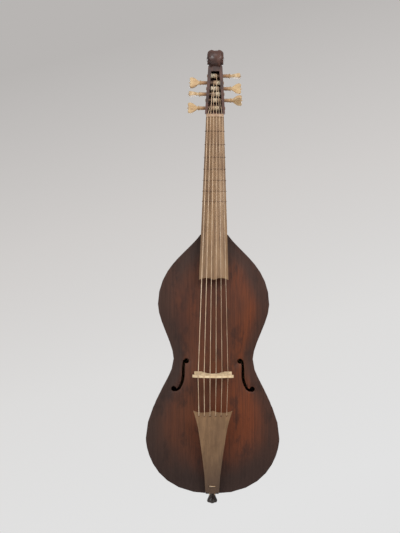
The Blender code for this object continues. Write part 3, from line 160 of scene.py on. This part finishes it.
def add_node(tree, kind, inputs=None, **settings):
    """A node with its settings, and with values or links in its inputs."""
    node = tree.nodes.new(kind)
    for key, value in settings.items():
        setattr(node, key, value)
    for key, value in (inputs or {}).items():
        if isinstance(value, bpy.types.NodeSocket):
            tree.links.new(value, node.inputs[key])
        else:
            node.inputs[key].default_value = value
    return node


def add_object(name, data):
    obj = bpy.data.objects.new(name, data)
    bpy.context.scene.collection.objects.link(obj)
    return obj


class Look:
    """A Principled material with short calls for its nodes."""

    def __init__(self, name, roughness, coat=0.0, specular=0.5):
        self.material = bpy.data.materials.new(name)
        self.material.use_nodes = True
        self.tree = self.material.node_tree
        self.shader = self.tree.nodes["Principled BSDF"]
        self.shader.inputs["Roughness"].default_value = roughness
        self.shader.inputs["Coat Weight"].default_value = coat
        self.shader.inputs["Coat Roughness"].default_value = COAT_ROUGHNESS
        self.shader.inputs["Specular IOR Level"].default_value = specular
        self.place = self.add("ShaderNodeTexCoord").outputs["Object"]

    def add(self, kind, inputs=None, **settings):
        return add_node(self.tree, kind, inputs, **settings)

    def stretched(self, scale):
        return self.add("ShaderNodeMapping", {"Vector": self.place, "Scale": scale}).outputs["Vector"]

    def noise(self, scale, detail, stretch=(1, 1, 1), roughness=0.55):
        inputs = {"Vector": self.stretched(stretch), "Scale": scale,
                  "Detail": detail, "Roughness": roughness}
        return self.add("ShaderNodeTexNoise", inputs).outputs["Fac"]

    def bands(self, scale, direction, distortion, stretch):
        inputs = {"Vector": self.stretched(stretch), "Scale": scale, "Distortion": distortion,
                  "Detail": 3, "Detail Scale": 1.5}
        return self.add("ShaderNodeTexWave", inputs, bands_direction=direction).outputs["Fac"]

    def axis(self, name):
        return self.add("ShaderNodeSeparateXYZ", {"Vector": self.place}).outputs[name]

    def math(self, kind, *values):
        return self.add("ShaderNodeMath", dict(enumerate(values)), operation=kind).outputs["Value"]

    def span(self, value, source, target=(0.0, 1.0)):
        """The value eased from one range to another."""
        inputs = {"Value": value, "From Min": source[0], "From Max": source[1],
                  "To Min": target[0], "To Max": target[1]}
        return self.add("ShaderNodeMapRange", inputs, interpolation_type="SMOOTHSTEP").outputs["Result"]

    def mix(self, share, a, b):
        inputs = {"Factor": share, MIX_A: a, MIX_B: b}
        return self.add("ShaderNodeMix", inputs, data_type="RGBA").outputs[MIX_RESULT]

    def tones(self, mask, source, first, second):
        """Two colours, one where the mask is low and the other where it is high."""
        return self.mix(self.span(mask, source), (*linear(first), 1), (*linear(second), 1))

    def stain(self, base, mask, source, target, colour):
        """The base covered by a colour, by as much as the mask gives."""
        return self.mix(self.span(mask, source, target), base, (*linear(colour), 1))

    def surface(self, colour, sheen, rough_range, relief, depth, strength):
        """Colour, roughness that follows a mask, and a fine relief; gives back the material."""
        bump = self.add("ShaderNodeBump", {"Height": relief, "Distance": depth, "Strength": strength})
        rough = self.span(sheen, SHEEN_MASK, rough_range)
        self.tree.links.new(colour, self.shader.inputs["Base Color"])
        self.tree.links.new(rough, self.shader.inputs["Roughness"])
        self.tree.links.new(bump.outputs["Normal"], self.shader.inputs["Normal"])
        return self.material


# Materials
def belly_look():
    """Spruce under old red-brown varnish: warm on the arch, darker at the rim and low down, with painted
    light on the treble side.
    """
    lowest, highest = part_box("belly")
    look = Look("belly_varnish", 0.46, specular=0.22)
    grain = look.bands(95, "X", 1.2, (1, 1, 0.05))
    fibre = look.noise(260, 3, (1, 1, 0.03))
    blotch = look.noise(9, 5, (1, 1, 0.45))
    mottle = look.noise(38, 5, (1, 1, 0.5), 0.65)
    scuff = look.noise(60, 6, (1, 1, 0.25), 0.7)
    wander = look.math("MULTIPLY", look.math("SUBTRACT", blotch, 0.5), RIM_WANDER)
    depth = look.math("ADD", look.axis("Y"), wander)
    # Painted light: the warm, lighter patches spread more towards the treble side, as if it were lit
    # more
    painted_light_lean = look.math("MULTIPLY", look.axis("X"), PAINTED_LIGHT_LEAN_PER_METRE)
    warmth_and_painted_light = look.math("ADD", look.noise(5.5, 4, (1.4, 1, 0.35)), painted_light_lean)
    rim = (highest.y - RIM_SHADE_INNER, highest.y - RIM_SHADE_OUTER)
    low = (lowest.z + LOW_SHADE_FROM, lowest.z + LOW_SHADE_TO)
    base = look.tones(blotch, (0.35, 0.68), (100, 56, 35), (78, 45, 33))
    base = look.stain(base, warmth_and_painted_light, (0.42, 0.6), (0.0, 0.8), (124, 62, 32))
    base = look.stain(base, depth, rim, (0.0, 0.8), (54, 43, 38))
    base = look.stain(base, look.axis("Z"), low, (0.7, 0.0), (50, 38, 34))
    base = look.stain(base, mottle, (0.5, 0.68), (0.0, 0.55), (46, 32, 27))
    base = look.stain(base, fibre, (0.4, 0.75), (0.0, 0.4), (40, 26, 21))
    base = look.stain(base, grain, (0.55, 0.95), (0.0, 0.35), (42, 27, 22))
    base = look.stain(base, scuff, (0.66, 0.78), (0.0, 0.35), (124, 88, 66))
    relief = look.math("ADD", grain, look.math("MULTIPLY", fibre, 0.8))
    return look.surface(base, blotch, (0.4, 0.55), relief, 0.00025, 0.5)


def maple_look():
    """Figured maple under dark brown varnish: back, ribs and neck."""
    look = Look("dark_maple_varnish", 0.4, specular=0.3)
    flame = look.bands(28, "Z", 5.0, (0.6, 0.6, 1))
    fibre = look.noise(200, 3, (1, 1, 0.06))
    blotch = look.noise(12, 5)
    base = look.tones(blotch, (0.3, 0.7), (72, 50, 40), (92, 60, 45))
    base = look.stain(base, flame, (0.2, 0.9), (0.0, 0.35), (108, 68, 46))
    base = look.stain(base, fibre, (0.4, 0.7), (0.0, 0.4), (56, 40, 36))
    return look.surface(base, blotch, (0.34, 0.5), fibre, 0.0002, 0.35)


def head_look():
    """Head and pegbox: brown-black varnish with redder patches."""
    look = Look("head_varnish", 0.36, specular=0.4)
    fibre = look.noise(170, 4, (1, 1, 0.08))
    blotch = look.noise(45, 5, (1, 1, 0.5))
    base = look.tones(blotch, (0.35, 0.65), (60, 44, 40), (90, 60, 50))
    base = look.stain(base, fibre, (0.5, 0.7), (0.0, 0.5), (48, 36, 34))
    return look.surface(base, blotch, (0.3, 0.45), fibre, 0.0002, 0.4)


def streaked_look(name, pale, dark, streak, roughness, coat=0.0, low_shade=None):
    """Plain wood with long grain streaks, and a darker lower end where one is given."""
    look = Look(name, roughness, coat)
    streaks = look.noise(70, 5, (1.6, 1, 0.05), 0.65)
    pores = look.noise(420, 3, (1, 1, 0.05))
    patches = look.noise(16, 5, (1, 1, 0.5))
    base = look.tones(streaks, (0.35, 0.68), pale, dark)
    base = look.stain(base, patches, (0.45, 0.75), (0.0, 0.5), streak)
    base = look.stain(base, pores, (0.58, 0.72), (0.0, 0.45), streak)
    if low_shade:
        heights, colour = low_shade
        base = look.stain(base, look.axis("Z"), heights, (0.85, 0.0), colour)
    relief = look.math("ADD", streaks, pores)
    return look.surface(base, patches, (roughness - 0.06, roughness + 0.1), relief, 0.00018, 0.4)


def boxwood_look():
    """Peg wood: pale heads, redder shanks, and painted shade inside the pegbox."""
    look = Look("boxwood", 0.4, coat=0.1)
    fibre = look.noise(320, 4, (0.12, 1, 1))
    patches = look.noise(55, 5)
    reach = look.math("ABSOLUTE", look.axis("X"))
    base = look.tones(patches, (0.35, 0.7), (206, 176, 132), (182, 146, 102))
    base = look.stain(base, fibre, (0.45, 0.7), (0.0, 0.5), (142, 102, 64))
    base = look.stain(base, reach, SHANK_SHADE, (0.75, 0.0), (142, 98, 66))
    # Painted shade: the pegs go dark where they run between the pegbox's cheeks
    base = look.stain(base, reach, SLOT_PAINTED_SHADE, (0.8, 0.0), (70, 50, 36))
    return look.surface(base, patches, (0.3, 0.45), fibre, 0.00012, 0.35)


def gut_look(name, pale, dark):
    """Gut: fine strands and a waxy gloss."""
    look = Look(name, 0.38, coat=0.2)
    strand = look.noise(900, 2, (1, 1, 0.5))
    tone = look.noise(30, 3)
    base = look.tones(tone, (0.3, 0.7), pale, dark)
    base = look.stain(base, strand, (0.45, 0.65), (0.0, 0.4), dark)
    return look.surface(base, tone, (0.32, 0.45), strand, 0.00008, 0.4)


def node_finishes():
    """The material of every CAD node, by its name."""
    maple = maple_look()
    boxwood = boxwood_look()
    string_gut = gut_look("string_gut", (222, 196, 164), (184, 150, 118))
    fret_gut = gut_look("fret_gut", (150, 118, 92), (112, 84, 66))
    bare = streaked_look("bare_spruce_inside", (196, 164, 120), (170, 134, 92), (140, 106, 70), 0.7)
    low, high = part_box("tailpiece")
    tail_shade = (low.z, low.z + TAILPIECE_SHADE_SHARE * (high.z - low.z))
    finishes = {
        "belly": belly_look(), "back": maple, "rib_bass": maple, "rib_treble": maple, "neck": maple,
        "pegbox_scroll": head_look(),
        "fingerboard": streaked_look("board_wood", (152, 119, 84), (122, 92, 64), (100, 73, 52), 0.55),
        "nut": streaked_look("nut_wood", (186, 156, 128), (160, 126, 98), (128, 98, 76), 0.45),
        "bridge": streaked_look("bridge_maple", (242, 216, 176), (224, 194, 152), (184, 148, 108), 0.5),
        "tailpiece": streaked_look("tailpiece_wood", (144, 110, 76), (118, 88, 58), (96, 70, 50), 0.48,
                                   low_shade=(tail_shade, (76, 56, 42))),
        "tail_gut": gut_look("tail_gut_cord", (214, 190, 160), (172, 140, 108)),
        "end_button": streaked_look("button_wood", (70, 56, 48), (54, 44, 39), (40, 33, 30), 0.36, 0.3),
        "saddle": streaked_look("saddle_wood", (64, 50, 42), (50, 40, 35), (38, 31, 28), 0.4),
    }
    families = {"peg": boxwood, "fret": fret_gut, "string": string_gut}
    return {name: finishes.get(name, families.get(name.split("_")[0], bare)) for name in nodes}


# Object
def add_weld(obj):
    """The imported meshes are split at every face, and smooth shading needs them joined."""
    obj.modifiers.new("weld", "WELD").merge_threshold = WELD_DISTANCE


def dress_nodes():
    """Smooth shading, softened edges and a finish for every CAD node."""
    for name, finish in node_finishes().items():
        obj = nodes[name]
        obj.data.materials.clear()
        obj.data.materials.append(finish)
        obj.data.shade_smooth()
        add_weld(obj)
        if name in BEVEL_WIDTHS:
            bevel = obj.modifiers.new("soft_edges", "BEVEL")
            bevel.width = BEVEL_WIDTHS[name]
            bevel.segments = 2
            bevel.limit_method = "ANGLE"
            bevel.angle_limit = BEVEL_ANGLE
        obj.modifiers.new("creases", "EDGE_SPLIT").split_angle = CREASE_ANGLE


def shoulder_ring(side, angle):
    """Section of the volute's shoulder at one angle round the eye, outwards from the crest and back."""
    turn = math.radians(angle)
    radius = CREST_RADIUS * TIGHTENING ** ((angle - CREST_ANGLE) / 360)
    fade = min(1, (angle - SHOULDER_START) / SHOULDER_RISE + SHOULDER_LEAST,
               (SHOULDER_END - angle) / SHOULDER_FALL + SHOULDER_LEAST)
    inner = CREST_HALF - SHOULDER_INSET
    ring = [(side * (inner + (VOLUTE_HALF - inner) * out * fade), radius * share)
            for out, share in SHOULDER_PROFILE]
    ring += [(ring[-1][0], SHOULDER_CORE * radius), (ring[0][0], SHOULDER_CORE * radius)]
    return [(x, SCROLL_EYE_Y + r * math.cos(turn), SCROLL_EYE_Z + r * math.sin(turn)) for x, r in ring]


def add_volute_shoulders(finish):
    """A rounded shoulder on each cheek of the head, from the back over the crest to the front."""
    for side, label in ((-1, "bass"), (1, "treble")):
        bm = bmesh.new()
        step = (SHOULDER_END - SHOULDER_START) / SHOULDER_STEPS
        rings = [[bm.verts.new(point) for point in shoulder_ring(side, SHOULDER_START + step * i)]
                 for i in range(SHOULDER_STEPS + 1)]
        for low, high in zip(rings, rings[1:]):
            for k in range(len(low)):
                after = (k + 1) % len(low)
                bm.faces.new((low[k], low[after], high[after], high[k]))
        bm.faces.new(rings[0])
        bm.faces.new(rings[-1][::-1])
        bmesh.ops.recalc_face_normals(bm, faces=bm.faces)
        mesh = bpy.data.meshes.new(f"volute_shoulder_{label}")
        bm.to_mesh(mesh)
        bm.free()
        mesh.materials.append(finish)
        mesh.shade_smooth()
        piece = add_object(f"volute_shoulder_{label}", mesh)
        piece.modifiers.new("creases", "EDGE_SPLIT").split_angle = SHOULDER_CREASE_ANGLE
        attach(piece, "body")


def winding_span(string, y, z):
    """Ends of the spare turns: beside the string's own turns on the peg, towards the far cheek."""
    own = [v.co.x for v in nodes[f"string_{string}"].data.vertices
           if abs(v.co.y - y) < NEAR_PEG_Y and abs(v.co.z - z) < NEAR_PEG_Z]
    inner = min(own, key=abs)
    outer = max(own, key=abs)
    way = -1 if outer > 0 else 1
    start = inner + way * WINDING_START_IN_RADII * WINDING_RADIUS
    return start, start + way * 2 * WINDING_RADIUS * (WINDING_TURNS + WINDING_SLACK_IN_TURNS)


def add_windings():
    """The rest of each string's turns, laid side by side round its peg."""
    finish = gut_look("winding_gut", (226, 214, 190), (190, 168, 136))
    around = WINDING_INNER_RADIUS + WINDING_RADIUS
    count = WINDING_TURNS * WINDING_POINTS
    for joint in frame["joints"]:
        if joint["type"] != "hinge":
            continue
        number = int(joint["child"].split("_")[1])
        _, y, z = joint["pos_m"]
        low, high = winding_span(STRING_AT_PEG[number], y, z)
        curve = bpy.data.curves.new(f"winding_{number}", "CURVE")
        curve.dimensions = "3D"
        curve.bevel_depth = WINDING_RADIUS
        curve.bevel_resolution = 2
        curve.use_fill_caps = True
        curve.materials.append(finish)
        spline = curve.splines.new("POLY")
        spline.points.add(count)
        for i, point in enumerate(spline.points):
            turn = 2 * math.pi * i / WINDING_POINTS
            x = low + (high - low) * i / count
            point.co = (x, y + around * math.cos(turn), z + around * math.sin(turn), 1)
        winding = add_object(f"winding_{number}", curve)
        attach(winding, "body")


def add_gut():
    """Gut along the same way in place of each string, fret and tail cord."""
    for name, obj in nodes.items():
        if name.startswith(("string_", "fret_", "tail_gut")):
            piece = add_object(f"gut_{name}", obj.data.copy())
            add_weld(piece)
            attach(piece, name if name.startswith("fret_") else "body")
            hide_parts(name)


# Camera
def add_camera():
    data = bpy.data.cameras.new("portrait")
    data.sensor_fit = "VERTICAL"
    data.sensor_height = SENSOR
    data.lens = FOCAL_PIXELS / FRAME_HEIGHT_PIXELS * SENSOR
    data.shift_x = CAMERA_SHIFT
    camera = add_object("portrait", data)
    place = Matrix.Translation((0, BELLY_EDGE_Y - CAMERA_DISTANCE, CAMERA_HEIGHT))
    level = Matrix.Rotation(math.pi / 2, 4, "X")
    camera.matrix_world = place @ level @ Matrix.Rotation(CAMERA_ROLL, 4, "Z")
    bpy.context.scene.camera = camera


# Studio
def camera_only(tree, lit, seen):
    """One shader for the light, and another for what the camera sees directly."""
    path = add_node(tree, "ShaderNodeLightPath")
    inputs = {"Fac": path.outputs["Is Camera Ray"], 1: lit, 2: seen}
    return add_node(tree, "ShaderNodeMixShader", inputs).outputs["Shader"]


def paper_look():
    """Seamless paper: to the camera it shows painted light, pale grey and lighter towards the low right;
    clear from behind.
    """
    material = bpy.data.materials.new("studio_paper")
    material.use_nodes = True
    tree = material.node_tree
    paper = tree.nodes["Principled BSDF"]
    paper.inputs["Base Color"].default_value = (*PAPER_COLOUR, 1)
    paper.inputs["Roughness"].default_value = PAPER_ROUGHNESS
    place = add_node(tree, "ShaderNodeTexCoord")
    split = add_node(tree, "ShaderNodeSeparateXYZ", {"Vector": place.outputs["Object"]})
    slanted = {0: split.outputs["X"], 1: PAPER_SHADE_SLANT, 2: split.outputs["Z"]}
    height = add_node(tree, "ShaderNodeMath", slanted, operation="MULTIPLY_ADD")
    heights = {"Value": height.outputs["Value"],
               "From Min": PAPER_SHADE_FROM, "From Max": PAPER_SHADE_TO}
    share = add_node(tree, "ShaderNodeMapRange", heights)
    ramp = add_node(tree, "ShaderNodeValToRGB", {"Fac": share.outputs["Result"]})
    while len(ramp.color_ramp.elements) < len(PAPER_PAINTED_LIGHT_SHADES):
        ramp.color_ramp.elements.new(0.5)
    for element, (position, colour) in zip(ramp.color_ramp.elements, PAPER_PAINTED_LIGHT_SHADES):
        element.position = position
        element.color = (*linear(colour), 1)
    # Painted light: the camera sees the paper lit from within in these shades
    painted_light_glow = add_node(tree, "ShaderNodeEmission", {"Color": ramp.outputs["Color"]})
    front = camera_only(tree, paper.outputs["BSDF"], painted_light_glow.outputs["Emission"])
    side = add_node(tree, "ShaderNodeNewGeometry")
    clear = add_node(tree, "ShaderNodeBsdfTransparent")
    faces = {"Fac": side.outputs["Backfacing"], 1: front, 2: clear.outputs["BSDF"]}
    one_sided = add_node(tree, "ShaderNodeMixShader", faces)
    tree.links.new(one_sided.outputs["Shader"], tree.nodes["Material Output"].inputs["Surface"])
    return material


def add_paper():
    """A sweep of paper that is floor, bend and wall in one."""
    profile = [(PAPER_FRONT, PAPER_FLOOR), (PAPER_WALL - PAPER_BEND, PAPER_FLOOR)]
    for i in range(1, PAPER_BEND_STEPS + 1):
        turn = math.pi / 2 * i / PAPER_BEND_STEPS
        profile.append((PAPER_WALL - PAPER_BEND + PAPER_BEND * math.sin(turn),
                        PAPER_FLOOR + PAPER_BEND - PAPER_BEND * math.cos(turn)))
    profile.append((PAPER_WALL, PAPER_TOP))
    bm = bmesh.new()
    rows = [[bm.verts.new((x, y, z)) for x in (-PAPER_HALF_WIDTH, PAPER_HALF_WIDTH)] for y, z in profile]
    for low, high in zip(rows, rows[1:]):
        bm.faces.new((low[0], low[1], high[1], high[0]))
    mesh = bpy.data.meshes.new("studio_sweep")
    bm.to_mesh(mesh)
    bm.free()
    mesh.shade_smooth()
    mesh.materials.append(paper_look())
    add_object("studio_sweep", mesh)


def add_lamps():
    for name, place, target, size, power in LAMPS:
        data = bpy.data.lights.new(name, "AREA")
        data.shape = "RECTANGLE"
        data.size, data.size_y = size
        data.energy = power
        lamp = add_object(name, data)
        lamp.location = place
        lamp.rotation_euler = (Vector(target) - Vector(place)).to_track_quat("-Z", "Y").to_euler()


def add_sky():
    """Soft light all round. Beyond the paper the camera sees a pale grey."""
    world = bpy.data.worlds.new("studio")
    world.use_nodes = True
    tree = world.node_tree
    sky = tree.nodes["Background"]
    sky.inputs["Color"].default_value = (*SKY_COLOUR, 1)
    sky.inputs["Strength"].default_value = SKY_STRENGTH
    pale = add_node(tree, "ShaderNodeBackground", {"Color": (*linear(SURROUND_SHADE), 1)})
    both = camera_only(tree, sky.outputs["Background"], pale.outputs["Background"])
    tree.links.new(both, tree.nodes["World Output"].inputs["Surface"])
    bpy.context.scene.world = world
    bpy.context.scene.view_settings.view_transform = "Standard"


dress_nodes()
add_volute_shoulders(nodes["pegbox_scroll"].data.materials[0])
add_windings()
add_gut()
add_camera()
add_paper()
add_lamps()
add_sky()
